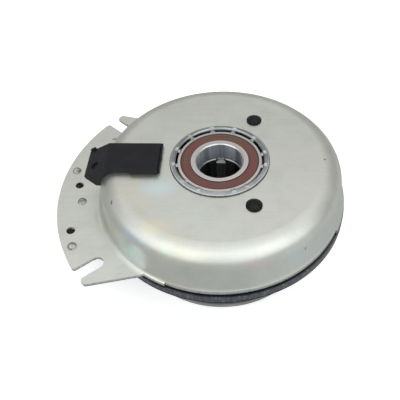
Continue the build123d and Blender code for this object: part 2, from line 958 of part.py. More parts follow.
pieces = {
    "field_shell": field_shell,
    "bearing_carrier": bearing_carrier,
    "coil_bobbin": coil_bobbin,
    "coil_winding": coil_winding,
    "coil_potting": coil_potting,
    "coil_plugs": coil_plugs,
    "coil_leads": coil_leads,
    "connector_housing": connector_housing,
    "connector_terminals": connector_terminals,
    "field_bearing_outer_race": field_bearing_outer_race,
    "field_bearing_upper_seal": field_bearing_upper_seal,
    "field_bearing_lower_seal": field_bearing_lower_seal,
    "flange_rivets": flange_rivets,
    "brake_spacers": brake_spacers,
    "brake_shims": brake_shims,
    "brake_shoe": brake_shoe,
    "brake_lining": brake_lining,
    "rotor_hub": rotor_hub,
    "key_stop": key_stop,
    "rotor_disc": rotor_disc,
    "rotor_friction_ring": rotor_friction_ring,
    "field_bearing_inner_race": field_bearing_inner_race,
    "pulley_bearing_inner_race": pulley_bearing_inner_race,
    "hub_snap_ring": hub_snap_ring,
    "field_bearing_balls": field_bearing_balls,
    "field_bearing_cage": field_bearing_cage,
    "pulley_bearing_balls": pulley_bearing_balls,
    "pulley_bearing_cage": pulley_bearing_cage,
    "pulley": pulley,
    "pulley_bearing_outer_race": pulley_bearing_outer_race,
    "pulley_bearing_upper_seal": pulley_bearing_upper_seal,
    "pulley_bearing_lower_seal": pulley_bearing_lower_seal,
    "pulley_snap_ring": pulley_snap_ring,
    "leaf_springs": leaf_springs,
    "spring_boss_rivets": spring_boss_rivets,
    "armature_disc": armature_disc,
    "spring_end_rivets": spring_end_rivets,
}

for name, piece in pieces.items():
    piece.part.label = name
    export_step(piece.part, f"parts/{name}.step")
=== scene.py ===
"""Looks for the electromagnetic clutch: materials, worn surfaces, floor, light and camera.

Everything is in metres in the CAD frame: +Z up the shaft axis, -X towards the flange.
"""

import math

import bmesh
import bpy
from mathutils import Matrix, Vector


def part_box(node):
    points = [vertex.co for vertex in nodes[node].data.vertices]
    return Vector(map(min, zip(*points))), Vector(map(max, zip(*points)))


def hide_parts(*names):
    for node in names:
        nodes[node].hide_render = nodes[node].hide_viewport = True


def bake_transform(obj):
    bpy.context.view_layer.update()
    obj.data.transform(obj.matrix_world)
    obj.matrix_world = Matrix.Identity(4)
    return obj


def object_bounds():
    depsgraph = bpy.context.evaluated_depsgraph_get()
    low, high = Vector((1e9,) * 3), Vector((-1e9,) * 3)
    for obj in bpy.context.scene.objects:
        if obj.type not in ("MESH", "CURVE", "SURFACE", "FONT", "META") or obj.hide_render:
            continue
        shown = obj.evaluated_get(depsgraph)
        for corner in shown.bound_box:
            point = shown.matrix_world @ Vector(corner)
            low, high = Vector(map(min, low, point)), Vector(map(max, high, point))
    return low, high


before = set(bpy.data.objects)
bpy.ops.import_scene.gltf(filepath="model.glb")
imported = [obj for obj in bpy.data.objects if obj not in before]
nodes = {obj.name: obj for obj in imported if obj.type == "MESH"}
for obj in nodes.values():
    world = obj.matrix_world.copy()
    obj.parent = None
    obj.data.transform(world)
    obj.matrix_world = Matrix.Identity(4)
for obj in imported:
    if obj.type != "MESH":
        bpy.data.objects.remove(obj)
cad_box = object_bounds()
MM = 0.001

# ---- Sizes, in millimetres: heights from the hub's lower end, radii from the shaft axis ----


def lowest(name):
    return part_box(name)[0].z / MM


def highest(name):
    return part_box(name)[1].z / MM


def widest(name):
    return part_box(name)[1].x / MM


def around_axis(angle, radius, height):
    """A place given by its angle in degrees, its distance from the axis and its height."""
    turn = math.radians(angle)
    return (radius * math.cos(turn), radius * math.sin(turn), height)


SHELL_TOP = highest("field_shell")
SHEET = 2.3
FLANGE_LOW = lowest("field_shell")
FLANGE_TOP = FLANGE_LOW + SHEET
LIP_RADIUS = widest("field_shell")
COLLAR_RADIUS = 32.0
COLLAR_BORE = 28.3
COLLAR_EDGE_TOP = highest("bearing_carrier") - 0.7
RACE_BORE = 15.0
HUB_BORE = 14.29
KEY_STOP_TOP = highest("key_stop")
ARMATURE_LOW = lowest("armature_disc")
ARMATURE_RADIUS = widest("armature_disc")
PULLEY_RADIUS = widest("pulley")
GROOVE_FLOOR = 53.0
GROOVE_LOW = 5.2
GROOVE_TOP = 21.8

# ---- Node helpers ----


class Shader:
    """A Principled material and short ways to wire its nodes."""

    def __init__(self, name, metallic=0.0, roughness=0.5):
        self.material = bpy.data.materials.new(name)
        self.material.use_nodes = True
        self.tree = self.material.node_tree
        self.tree.nodes.clear()
        self.bsdf = self.node("BsdfPrincipled")
        self.bsdf.inputs["Metallic"].default_value = metallic
        self.bsdf.inputs["Roughness"].default_value = roughness
        output = self.node("OutputMaterial")
        self.link(self.bsdf, "BSDF", output, "Surface")
        self.place = self.node("TexCoord").outputs["Object"]

    def node(self, kind, **settings):
        """A new shader node with its settings."""
        made = self.tree.nodes.new("ShaderNode" + kind)
        for key, value in settings.items():
            setattr(made, key, value)
        return made

    def link(self, source, output, target, input_name):
        self.tree.links.new(source.outputs[output], target.inputs[input_name])

    def wire(self, socket, target, input_name):
        self.tree.links.new(socket, target.inputs[input_name])

    def set(self, input_name, value):
        """Give one of the material's own inputs a constant."""
        self.bsdf.inputs[input_name].default_value = value

    def drive(self, input_name, socket):
        """Wire a socket to one of the material's own inputs."""
        self.wire(socket, self.bsdf, input_name)

    def stretched(self, scale):
        """Object coordinates multiplied by (x, y, z), per metre."""
        mapping = self.node("Mapping")
        mapping.inputs["Scale"].default_value = scale
        self.wire(self.place, mapping, "Vector")
        return mapping.outputs["Vector"]

    def around(self, angle_scale, radius_scale, height_scale):
        """Coordinates round the shaft axis: direction, radius and height, each with its scale."""
        split = self.node("SeparateXYZ")
        self.wire(self.place, split, "Vector")
        flat = self.node("CombineXYZ")
        self.wire(split.outputs["X"], flat, "X")
        self.wire(split.outputs["Y"], flat, "Y")
        unit = self.node("VectorMath", operation="NORMALIZE")
        self.wire(flat.outputs["Vector"], unit, "Vector")
        spread = self.node("VectorMath", operation="SCALE")
        self.wire(unit.outputs["Vector"], spread, "Vector")
        spread.inputs["Scale"].default_value = angle_scale
        length = self.node("VectorMath", operation="LENGTH")
        self.wire(flat.outputs["Vector"], length, "Vector")
        rise = self.node("CombineXYZ")
        outwards = self.times(length.outputs["Value"], radius_scale)
        self.wire(outwards, rise, "X")
        self.wire(outwards, rise, "Y")
        self.wire(self.times(split.outputs["Z"], height_scale), rise, "Z")
        total = self.node("VectorMath", operation="ADD")
        self.wire(spread.outputs["Vector"], total, 0)
        self.wire(rise.outputs["Vector"], total, 1)
        return total.outputs["Vector"]

    def maths(self, operation, *values):
        """Arithmetic on numbers and sockets."""
        made = self.node("Math", operation=operation)
        for index, value in enumerate(values):
            if isinstance(value, (int, float)):
                made.inputs[index].default_value = value
            else:
                self.tree.links.new(value, made.inputs[index])
        return made.outputs["Value"]

    def times(self, first, second):
        return self.maths("MULTIPLY", first, second)

    def noise(self, where, scale, detail=3.0, rough=0.5, warp=0.0):
        """Noise whose scale multiplies the coordinates that it is given."""
        made = self.node("TexNoise")
        self.wire(where, made, "Vector")
        made.inputs["Scale"].default_value = scale
        made.inputs["Detail"].default_value = detail
        made.inputs["Roughness"].default_value = rough
        made.inputs["Distortion"].default_value = warp
        return made.outputs["Fac"]

    def ramp(self, factor, stops):
        """Colour ramp from (position, colour or grey) stops."""
        made = self.node("ValToRGB")
        self.wire(factor, made, "Fac")
        elements = made.color_ramp.elements
        while len(elements) < len(stops):
            elements.new(0.5)
        for element, (position, value) in zip(elements, stops):
            element.position = position
            rgb = value if isinstance(value, tuple) else (value, value, value)
            element.color = (*rgb, 1.0)
        return made.outputs["Color"]

    def span(self, factor, low, high, from_low=0.3, from_high=0.7):
        """Remap a factor to a range."""
        made = self.node("MapRange")
        self.wire(factor, made, "Value")
        made.inputs["From Min"].default_value = from_low
        made.inputs["From Max"].default_value = from_high
        made.inputs["To Min"].default_value = low
        made.inputs["To Max"].default_value = high
        return made.outputs["Result"]

    def mix(self, factor, first, second, blend="MIX"):
        """Mix of two colours; inputs 0, 6 and 7 are the node's factor and its two colours."""
        made = self.node("Mix", data_type="RGBA", blend_type=blend)
        for index, value in ((0, factor), (6, first), (7, second)):
            if isinstance(value, tuple):
                made.inputs[index].default_value = (*value, 1.0)
            elif isinstance(value, (int, float)):
                made.inputs[index].default_value = value
            else:
                self.tree.links.new(value, made.inputs[index])
        return made.outputs[2]

    def shaded(self, colour, tone):
        """A colour multiplied by a tone."""
        return self.mix(1.0, colour, tone, "MULTIPLY")

    def smooth(self, factor, low, high, from_low, from_high):
        """Smooth step between two values of a factor."""
        made = self.node("MapRange", interpolation_type="SMOOTHSTEP")
        self.wire(factor, made, "Value")
        for key, value in (
            ("From Min", from_low),
            ("From Max", from_high),
            ("To Min", low),
            ("To Max", high),
        ):
            made.inputs[key].default_value = value
        return made.outputs["Result"]

    def towards(self, direction):
        """Distance along a direction, in metres."""
        made = self.node("VectorMath", operation="DOT_PRODUCT")
        self.wire(self.place, made, 0)
        made.inputs[1].default_value = direction
        return made.outputs["Value"]

    def height(self):
        """Height above the hub's lower end, in metres."""
        return self.towards((0.0, 0.0, 1.0))

    def radius(self):
        """Distance from the shaft axis, in metres."""
        made = self.node("VectorMath", operation="LENGTH")
        self.wire(self.stretched((1.0, 1.0, 0.0)), made, "Vector")
        return made.outputs["Value"]

    def band(self, value, low, high, soft):
        """1 between two values, given in millimetres, with soft ends."""
        start = self.smooth(value, 0.0, 1.0, (low - soft) * MM, (low + soft) * MM)
        end = self.smooth(value, 1.0, 0.0, (high - soft) * MM, (high + soft) * MM)
        return self.times(start, end)

    def mark(self, centre, reach, core=0.5):
        """A spot round a point, both in millimetres, that fades from its core to its edge."""
        mapping = self.node("Mapping")
        mapping.inputs["Location"].default_value = [-at / half for at, half in zip(centre, reach)]
        mapping.inputs["Scale"].default_value = [1 / (half * MM) for half in reach]
        self.wire(self.place, mapping, "Vector")
        length = self.node("VectorMath", operation="LENGTH")
        self.wire(mapping.outputs["Vector"], length, "Vector")
        return self.smooth(length.outputs["Value"], 1.0, 0.0, core, 1.0)

    def bump(self, *layers):
        """Stack of (height factor, strength, distance in metres)."""
        normal = None
        for factor, strength, distance in layers:
            made = self.node("Bump")
            self.wire(factor, made, "Height")
            if isinstance(strength, float):
                made.inputs["Strength"].default_value = strength
            else:
                self.wire(strength, made, "Strength")
            made.inputs["Distance"].default_value = distance
            if normal is not None:
                self.wire(normal, made, "Normal")
            normal = made.outputs["Normal"]
        self.drive("Normal", normal)


# ---- Materials ----

# Soft colours of the zinc's passivation, as centre, reach and hue
TINT_DEPTH = 0.85
shell_tints = [
    (around_axis(213, 44.5, SHELL_TOP), (17, 11, 5), (0.75, 0.88, 0.91)),
    (around_axis(229, 76.5, SHELL_TOP - 7), (15, 12, 6), (0.70, 0.76, 0.85)),
    (around_axis(230, 79.5, SHELL_TOP - 17), (13, 12, 9), (0.58, 0.75, 0.76)),
    (around_axis(237, 65.5, SHELL_TOP), (15, 9, 4), (0.80, 0.78, 0.64)),
    (around_axis(215, 79.5, SHELL_TOP - 16), (8, 9, 12), (0.66, 0.69, 0.54)),
    (around_axis(287, 77, SHELL_TOP - 9), (24, 6, 9), (0.75, 0.69, 0.68)),
    (around_axis(308, 78.5, SHELL_TOP - 16), (13, 12, 8), (0.66, 0.76, 0.76)),
]

# Dark marks on the shell, as centre, reach and how dark they are
shell_marks = [
    (around_axis(208, 73.5, SHELL_TOP - 3), (0.8, 2.1, 1.7), 0.75),
    (around_axis(1, 66.5, SHELL_TOP), (1.0, 1.0, 1.0), 0.65),
    (around_axis(311.5, 78.5, SHELL_TOP - 13.5), (0.9, 0.9, 1.7), 0.5),
    (around_axis(148, 95, FLANGE_TOP), (3.2, 1.8, 2.0), 0.5),
]


def zinc_plate():
    """Satin clear zinc over drawn sheet: blue and straw tints, rolling grain, marks, sheared edges."""
    look = Shader("zinc_plate", metallic=1.0)
    radius = look.radius()
    height = look.height()
    side = look.smooth(look.towards((-0.83, -0.56, 0.0)), 0.0, 1.0, 28.0 * MM, 60.0 * MM)
    on_dome = look.smooth(radius, 1.0, 0.0, (LIP_RADIUS - 1.8) * MM, (LIP_RADIUS + 4.2) * MM)
    lean = look.times(side, on_dome)
    swing = look.maths("MULTIPLY_ADD", lean, 0.3, 0.28)
    middle = look.maths("MULTIPLY_ADD", lean, -0.03, 0.54)
    veil = look.maths("SUBTRACT", look.noise(look.place, 24.0, 3.0, 0.55, 0.8), 0.5)
    clouds = look.maths("MULTIPLY_ADD", veil, swing, middle)
    tint = look.ramp(
        clouds,
        [
            (0.24, (0.70, 0.73, 0.79)),
            (0.33, (0.68, 0.79, 0.80)),
            (0.40, (0.73, 0.77, 0.72)),
            (0.45, (0.77, 0.76, 0.66)),
            (0.50, (0.745, 0.755, 0.71)),
            (0.58, (0.74, 0.765, 0.725)),
            (0.66, (0.73, 0.765, 0.745)),
            (0.76, (0.755, 0.735, 0.72)),
        ],
    )
    blotches = look.noise(look.place, 70.0, 5.0, 0.6, 0.3)
    tone = look.ramp(blotches, [(0.30, 0.93), (0.55, 1.0), (0.8, 0.96)])
    drawn = look.noise(look.around(60.0, 0.0, 12.0), 4.0, 4.0, 0.6)
    streak = look.ramp(drawn, [(0.35, 0.96), (0.6, 1.0)])
    rolled = look.noise(look.stretched((30.0, 700.0, 30.0)), 1.0, 4.0, 0.65)
    grain = look.noise(look.place, 1600.0, 2.0, 0.5)
    specks = look.ramp(look.noise(look.place, 700.0, 2.0, 0.5), [(0.24, 0.86), (0.30, 1.0)])
    colour = look.shaded(tint, tone)
    colour = look.shaded(colour, streak)
    colour = look.shaded(colour, look.ramp(rolled, [(0.35, 0.97), (0.6, 1.0)]))
    colour = look.shaded(colour, specks)
    # Painted shade: the crease at the foot of the wall is painted darker on the flange side
    foot_level = look.band(height, FLANGE_TOP + 0.2, FLANGE_TOP + 3.4, 0.7)
    foot_ring = look.band(radius, LIP_RADIUS - 21.8, LIP_RADIUS - 2.3, 1.5)
    flange_side = look.smooth(look.towards((-1.0, 0.0, 0.0)), 0.0, 0.45, 30.0 * MM, 60.0 * MM)
    foot_crease_shade = look.times(look.times(foot_level, foot_ring), flange_side)
    colour = look.mix(foot_crease_shade, colour, (0.36, 0.37, 0.33))
    for centre, reach, hue in shell_tints:
        colour = look.mix(look.times(look.mark(centre, reach, 0.0), TINT_DEPTH), colour, hue)
    for centre, reach, depth in shell_marks:
        spot = look.times(look.mark(centre, reach), depth)
        colour = look.mix(spot, colour, (0.12, 0.11, 0.10))
    facing = look.node("SeparateXYZ")
    look.wire(look.node("NewGeometry").outputs["Normal"], facing, "Vector")
    upright = look.smooth(look.maths("ABSOLUTE", facing.outputs["Z"]), 1.0, 0.0, 0.05, 0.3)
    sheared = look.times(upright, look.band(height, FLANGE_LOW - 5.0, FLANGE_TOP + 0.1, 0.1))
    shear_lines = look.noise(look.stretched((900.0, 900.0, 60.0)), 1.0, 3.0, 0.7)
    edge = look.mix(look.span(shear_lines, 0.0, 1.0), (0.45, 0.45, 0.44), (0.9, 0.9, 0.88))
    torn = look.band(height, FLANGE_LOW - 5.0, FLANGE_LOW + 0.7, 0.15)
    edge = look.mix(torn, edge, (0.30, 0.29, 0.28))
    look.drive("Base Color", look.mix(sheared, colour, edge))
    look.drive("Roughness", look.span(look.noise(look.place, 45.0, 6.0, 0.65), 0.30, 0.43))
    waves = look.noise(look.place, 30.0, 2.0)
    look.bump((waves, 0.25, 0.0006), (rolled, 0.1, 0.00003), (grain, 0.2, 0.00004))
    return look.material


def turned_steel(name, light, dark, rough, rings, depth=0.00002):
    """Lathe-turned metal: fine rings about the shaft axis."""
    look = Shader(name, metallic=1.0)
    cut = look.noise(look.around(1.5, rings, rings), 1.0, 2.0, 0.6)
    cloud = look.noise(look.place, 60.0, 4.0, 0.6)
    colour = look.mix(look.span(cut, 0.0, 1.0), dark, light)
    colour = look.shaded(colour, look.ramp(cloud, [(0.3, 0.88), (0.65, 1.0)]))
    look.drive("Base Color", colour)
    look.drive("Roughness", look.span(cloud, rough, rough + 0.1))
    look.bump((cut, 0.35, depth))
    return look.material


def bored_steel(name, light, dark, rough, bore, bore_light, bore_dark):
    """Ground ring whose bore is honed and dull, with upright light and dark streaks painted into its
    colour as painted reflections.
    """
    look = Shader(name, metallic=1.0)
    radius = look.radius()
    cut = look.noise(look.around(1.5, 3600.0, 3600.0), 1.0, 2.0, 0.6)
    face = look.mix(look.span(cut, 0.0, 1.0), dark, light)
    inside = look.smooth(radius, 1.0, 0.0, (bore + 0.05) * MM, (bore + 0.3) * MM)
    # Painted reflections: upright streaks of the surroundings are painted into the bore's colour
    streak = look.noise(look.around(3.4, 0.0, 4.0), 1.0, 2.0, 0.5)
    bore_reflection_streaks = look.mix(look.span(streak, 0.0, 1.0, 0.35, 0.65), bore_dark, bore_light)
    look.drive("Base Color", look.mix(inside, face, bore_reflection_streaks))
    look.drive("Roughness", look.maths("MULTIPLY_ADD", inside, 0.45, rough))
    laps = look.noise(look.around(0.8, 0.0, 5200.0), 1.0, 2.0, 0.7)
    look.bump((cut, 0.3, 0.000008), (laps, look.times(inside, 0.6), 0.00006))
    return look.material


def collar_steel():
    """Bearing collar: turned top with a painted highlight round its outer edge, punched stakes, painted
    shade on its outer wall at the shell and down its bore.
    """
    look = Shader("collar_steel", metallic=1.0)
    radius = look.radius()
    height = look.height()
    cut = look.noise(look.around(1.5, 2600.0, 2600.0), 1.0, 2.0, 0.6)
    cloud = look.noise(look.place, 170.0, 4.0, 0.6)
    colour = look.mix(look.span(cut, 0.0, 1.0), (0.30, 0.325, 0.335), (0.48, 0.51, 0.515))
    # Painted highlight: a light band just inside the collar's outer edge
    outer_edge_highlight = look.band(radius, COLLAR_RADIUS - 1.0, COLLAR_RADIUS - 0.4, 0.12)
    colour = look.mix(outer_edge_highlight, colour, (0.66, 0.68, 0.68))
    punch_ring = look.band(radius, COLLAR_BORE + 0.4, COLLAR_RADIUS - 0.9, 0.05)
    punch_level = look.band(height, COLLAR_EDGE_TOP - 0.8, COLLAR_EDGE_TOP + 0.05, 0.03)
    colour = look.mix(look.times(punch_ring, punch_level), colour, (0.74, 0.75, 0.73))
    # Painted shade: the outer wall, where the collar stands above the shell, is painted nearly black
    shell_wall_shade = look.band(radius, COLLAR_RADIUS - 0.32, COLLAR_RADIUS + 1.0, 0.05)
    colour = look.mix(shell_wall_shade, colour, (0.10, 0.10, 0.105))
    # Painted shade: the bore is painted dark bluish grey at its top and nearly black further down
    bore_ring = look.band(radius, COLLAR_BORE - 0.1, COLLAR_BORE + 0.12, 0.03)
    bore_level = look.band(height, COLLAR_EDGE_TOP - 17.3, COLLAR_EDGE_TOP - 0.3, 0.2)
    colour = look.mix(look.times(bore_ring, bore_level), colour, (0.27, 0.285, 0.33))
    deep_bore_shade = look.band(height, COLLAR_EDGE_TOP - 17.3, COLLAR_EDGE_TOP - 1.7, 0.3)
    colour = look.mix(deep_bore_shade, colour, (0.09, 0.095, 0.11))
    colour = look.shaded(colour, look.ramp(cloud, [(0.3, 0.76), (0.6, 1.0)]))
    look.drive("Base Color", colour)
    look.drive("Roughness", look.span(cloud, 0.24, 0.38))
    look.bump((cut, 0.35, 0.00002), (look.noise(look.place, 500.0, 3.0), 0.25, 0.00006))
    return look.material


def plain_steel(name, light, dark, rough, patch=160.0):
    """Stamped or peened steel: cloudy tone, fine grain and small dings."""
    look = Shader(name, metallic=1.0)
    cloud = look.noise(look.place, patch, 5.0, 0.6, 0.4)
    look.drive("Base Color", look.mix(look.span(cloud, 0.0, 1.0), dark, light))
    look.drive("Roughness", look.span(look.noise(look.place, 240.0, 4.0), rough, rough + 0.15))
    look.bump((look.noise(look.place, 900.0, 3.0), 0.3, 0.00005))
    return look.material


def pulley_steel():
    """Turned and plated pulley: groove walls polished by the belt, dull dusty web and hub."""
    look = Shader("pulley_steel", metallic=1.0)
    radius = look.radius()
    height = look.height()
    cut = look.noise(look.around(1.5, 1500.0, 1500.0), 1.0, 2.0, 0.6)
    cloud = look.noise(look.place, 60.0, 5.0, 0.65)
    scuff = look.noise(look.around(9.0, 60.0, 500.0), 1.0, 4.0, 0.7)
    plated = look.mix(look.span(cut, 0.0, 1.0), (0.40, 0.40, 0.385), (0.58, 0.58, 0.555))
    plated = look.mix(look.ramp(cloud, [(0.35, 0.55), (0.6, 0.0)]), plated, (0.24, 0.235, 0.22))
    worn = look.mix(look.span(scuff, 0.0, 1.0), (0.52, 0.52, 0.52), (0.74, 0.74, 0.73))
    walls = look.band(radius, GROOVE_FLOOR, PULLEY_RADIUS - 0.9, 0.5)
    belt = look.times(walls, look.band(height, GROOVE_LOW, GROOVE_TOP, 0.4))
    look.drive("Base Color", look.mix(belt, plated, worn))
    dull = look.span(cloud, 0.42, 0.28)
    look.drive("Roughness", look.maths("MULTIPLY_ADD", belt, -0.12, dull))
    look.bump((cut, 0.35, 0.00002), (scuff, 0.15, 0.00002))
    return look.material


def key_steel():
    """Keyway stop: its top painted near white as a painted glint, its front painted dark as painted shade.
    """
    look = Shader("key_steel", metallic=0.6)
    height = look.height()
    cloud = look.noise(look.stretched((500.0, 500.0, 60.0)), 1.0, 4.0, 0.6)
    # Painted glint on the top, painted shade on the front below it
    glint_top = look.smooth(height, 0.0, 1.0, (KEY_STOP_TOP - 0.5) * MM, (KEY_STOP_TOP - 0.1) * MM)
    shaded_front = look.mix(look.span(cloud, 0.0, 1.0), (0.05, 0.05, 0.052), (0.12, 0.12, 0.12))
    look.drive("Base Color", look.mix(glint_top, shaded_front, (0.96, 0.96, 0.95)))
    look.drive("Roughness", look.span(cloud, 0.45, 0.55))
    look.bump((cloud, 0.15, 0.00002))
    return look.material


def armature_steel():
    """Dark oiled disc: streaks down its turned edge whose lightest parts are painted highlights, a
    near-black foot to the edge, rings over its faces.
    """
    look = Shader("armature_steel", metallic=1.0)
    radius = look.radius()
    height = look.height()
    # The lightest streaks on the edge are painted highlights
    streak = look.noise(look.around(30.0, 0.0, 90.0), 3.0, 5.0, 0.68, 0.6)
    rings = look.noise(look.around(2.0, 1800.0, 500.0), 1.0, 2.0, 0.5)
    colour = look.ramp(
        streak,
        [(0.30, (0.055, 0.058, 0.066)), (0.52, (0.14, 0.15, 0.18)), (0.70, (0.33, 0.35, 0.41))],
    )
    # The foot of the edge is painted near black
    rim_ring = look.band(radius, ARMATURE_RADIUS - 0.6, ARMATURE_RADIUS + 1.7, 0.1)
    rim_foot = look.band(height, ARMATURE_LOW - 2.2, ARMATURE_LOW + 1.3, 0.3)
    faced = look.mix(look.span(rings, 0.0, 1.0), (0.09, 0.092, 0.1), (0.2, 0.205, 0.22))
    colour = look.mix(look.band(radius, 0.0, ARMATURE_RADIUS - 0.6, 0.1), colour, faced)
    colour = look.mix(look.times(rim_ring, rim_foot), colour, (0.02, 0.021, 0.024))
    look.drive("Base Color", colour)
    look.drive("Roughness", look.span(streak, 0.28, 0.5))
    look.bump((rings, 0.3, 0.00003), (streak, 0.2, 0.00006))
    return look.material


def moulded_plastic(name, colour, other, rough, grain=1500.0, specular=0.5):
    """Moulded plastic: fine spark-eroded texture and a cloudy tone."""
    look = Shader(name)
    look.set("Specular IOR Level", specular)
    cloud = look.noise(look.place, 120.0, 4.0, 0.6)
    look.drive("Base Color", look.mix(look.span(cloud, 0.0, 1.0), colour, other))
    look.drive("Roughness", look.span(look.noise(look.place, 300.0, 3.0), rough - 0.06, rough + 0.1))
    look.bump((look.noise(look.place, grain, 3.0, 0.6), 0.4, 0.00003))
    return look.material


def seal_rubber(name, seal, inner_race):
    """Brown-red moulded seal: concentric ribs, olive patches, painted shade where it meets the rings."""
    look = Shader(name)
    cloud = look.noise(look.place, 75.0, 3.0, 0.5)
    rib = look.noise(look.around(0.6, 1500.0, 0.0), 1.0, 1.0, 0.4)
    colour = look.ramp(
        cloud,
        [(0.36, (0.115, 0.072, 0.043)), (0.5, (0.15, 0.058, 0.044)), (0.64, (0.16, 0.048, 0.046))],
    )
    colour = look.shaded(colour, look.ramp(rib, [(0.3, 0.8), (0.6, 1.0)]))
    # Painted shade: the seal is painted nearly black next to both rings, in the gaps
    middle = look.band(look.radius(), widest(inner_race) + 0.55, widest(seal) - 0.75, 0.3)
    look.drive("Base Color", look.mix(middle, (0.035, 0.02, 0.016), colour))
    look.drive("Roughness", look.span(cloud, 0.38, 0.5))
    look.bump((rib, 0.35, 0.00004), (look.noise(look.place, 1200.0, 2.0), 0.2, 0.00002))
    return look.material


def wound_copper():
    """Enamelled wire in close layers."""
    look = Shader("wound_copper", metallic=1.0)
    turns = look.node("TexWave", wave_type="BANDS", bands_direction="Z")
    look.wire(look.stretched((0.0, 0.0, 1.0)), turns, "Vector")
    turns.inputs["Scale"].default_value = 330.0
    lay = look.noise(look.around(8.0, 0.0, 900.0), 1.0, 2.0)
    look.drive("Base Color", look.mix(look.span(lay, 0.0, 1.0), (0.42, 0.15, 0.06), (0.65, 0.28, 0.12)))
    look.drive("Roughness", look.span(lay, 0.25, 0.4))
    look.bump((turns.outputs["Fac"], 0.8, 0.0003))
    return look.material


def friction_block():
    """Moulded friction compound: dark, with light fibres and crumbs."""
    look = Shader("friction_block")
    crumbs = look.noise(look.place, 900.0, 4.0, 0.7)
    colour = look.ramp(
        crumbs,
        [(0.35, (0.035, 0.03, 0.027)), (0.6, (0.09, 0.075, 0.06)), (0.72, (0.3, 0.25, 0.18))],
    )
    look.drive("Base Color", colour)
    look.drive("Roughness", look.span(crumbs, 0.75, 0.92))
    look.bump((crumbs, 0.6, 0.0001))
    return look.material


materials = {
    "zinc": zinc_plate(),
    "collar": collar_steel(),
    "race": bored_steel(
        "race_steel",
        light=(0.76, 0.73, 0.71),
        dark=(0.57, 0.55, 0.54),
        rough=0.14,
        bore=RACE_BORE,
        bore_light=(0.84, 0.87, 0.93),
        bore_dark=(0.4, 0.42, 0.46),
    ),
    "hub": bored_steel(
        "hub_steel",
        light=(0.34, 0.34, 0.35),
        dark=(0.2, 0.2, 0.21),
        rough=0.25,
        bore=HUB_BORE,
        bore_light=(0.07, 0.07, 0.075),
        bore_dark=(0.015, 0.015, 0.015),
    ),
    "key": key_steel(),
    "pulley": pulley_steel(),
    "ball": turned_steel(
        "ball_steel", (0.85, 0.85, 0.85), (0.8, 0.8, 0.8), 0.05, rings=500.0, depth=0.000002
    ),
    "rotor": turned_steel("rotor_steel", (0.24, 0.24, 0.26), (0.12, 0.12, 0.13), 0.35, rings=1500.0),
    "rivet": plain_steel("rivet_steel", (0.62, 0.62, 0.58), (0.2, 0.2, 0.19), 0.42, patch=430.0),
    "spacer": plain_steel("spacer_steel", (0.6, 0.6, 0.58), (0.42, 0.42, 0.41), 0.3),
    "shim": plain_steel("shim_steel", (0.66, 0.66, 0.64), (0.5, 0.5, 0.5), 0.24),
    "shoe": plain_steel("shoe_steel", (0.12, 0.12, 0.13), (0.05, 0.05, 0.055), 0.4),
    "spring": plain_steel("spring_steel", (0.2, 0.21, 0.25), (0.09, 0.1, 0.14), 0.25),
    "tinned": plain_steel("tinned_brass", (0.82, 0.78, 0.66), (0.66, 0.6, 0.46), 0.2),
    "armature": armature_steel(),
    "connector": moulded_plastic(
        "connector_plastic", (0.008, 0.0075, 0.0105), (0.013, 0.0125, 0.016), 0.42, specular=0.22
    ),
    "plug": moulded_plastic(
        "plug_plastic", (0.003, 0.003, 0.0035), (0.007, 0.007, 0.008), 0.35, specular=0.22
    ),
    "bobbin": moulded_plastic("bobbin_plastic", (0.02, 0.02, 0.022), (0.035, 0.035, 0.038), 0.5),
    "resin": moulded_plastic("potting_resin", (0.02, 0.018, 0.016), (0.04, 0.036, 0.03), 0.3, grain=500.0),
    "cage": moulded_plastic("cage_plastic", (0.62, 0.5, 0.3), (0.7, 0.6, 0.4), 0.5),
    "lead": moulded_plastic("lead_insulation", (0.015, 0.015, 0.015), (0.03, 0.03, 0.03), 0.45),
    "field_seal": seal_rubber(
        "field_seal_rubber", "field_bearing_upper_seal", "field_bearing_inner_race"
    ),
    "pulley_seal": seal_rubber(
        "pulley_seal_rubber", "pulley_bearing_upper_seal", "pulley_bearing_inner_race"
    ),
    "copper": wound_copper(),
    "friction": friction_block(),
}

finish_of = {
    "field_shell": "zinc",
    "bearing_carrier": "collar",
    "coil_bobbin": "bobbin",
    "coil_winding": "copper",
    "coil_potting": "resin",
    "coil_plugs": "plug",
    "coil_leads": "lead",
    "connector_housing": "connector",
    "connector_terminals": "tinned",
    "field_bearing_outer_race": "race",
    "field_bearing_inner_race": "race",
    "field_bearing_upper_seal": "field_seal",
    "field_bearing_lower_seal": "field_seal",
    "field_bearing_balls": "ball",
    "field_bearing_cage": "cage",
    "flange_rivets": "rivet",
    "brake_spacers": "spacer",
    "brake_shims": "shim",
    "brake_shoe": "shoe",
    "brake_lining": "friction",
    "rotor_hub": "hub",
    "key_stop": "key",
    "rotor_disc": "rotor",
    "rotor_friction_ring": "friction",
    "hub_snap_ring": "spring",
    "pulley": "pulley",
    "pulley_bearing_outer_race": "race",
    "pulley_bearing_inner_race": "race",
    "pulley_bearing_upper_seal": "pulley_seal",
    "pulley_bearing_lower_seal": "pulley_seal",
    "pulley_bearing_balls": "ball",
    "pulley_bearing_cage": "cage",
    "pulley_snap_ring": "spring",
    "leaf_springs": "spring",
    "spring_boss_rivets": "rivet",
    "armature_disc": "armature",
    "spring_end_rivets": "rivet",
}

for name, finish in finish_of.items():
    mesh = nodes[name].data
    mesh.materials.clear()
    mesh.materials.append(materials[finish])

# ---- Leaf springs, each strap copied and cut across ----

# Turn and reach are in degrees, places and grasp in millimetres
SPRING_COUNT = 3
SPRING_TURN = 15.0
SPRING_REACH = 45.0
SPRING_BOSS_PLACE = 52.0
SPRING_END_PLACE = 56.0
SPRING_GRASP = 8.0
SPRING_CUTS = 20
# Angle beyond which the straps' edges are shaded sharp
SHARP_EDGE = math.radians(40.0)


def on_spring(point, start, along):
    """Whether a point belongs to the strap that runs from start along a vector."""
    place = max(0.0, min(1.0, (point - start).dot(along) / along.length_squared))
    return (point - start - along * place).length < SPRING_GRASP * MM


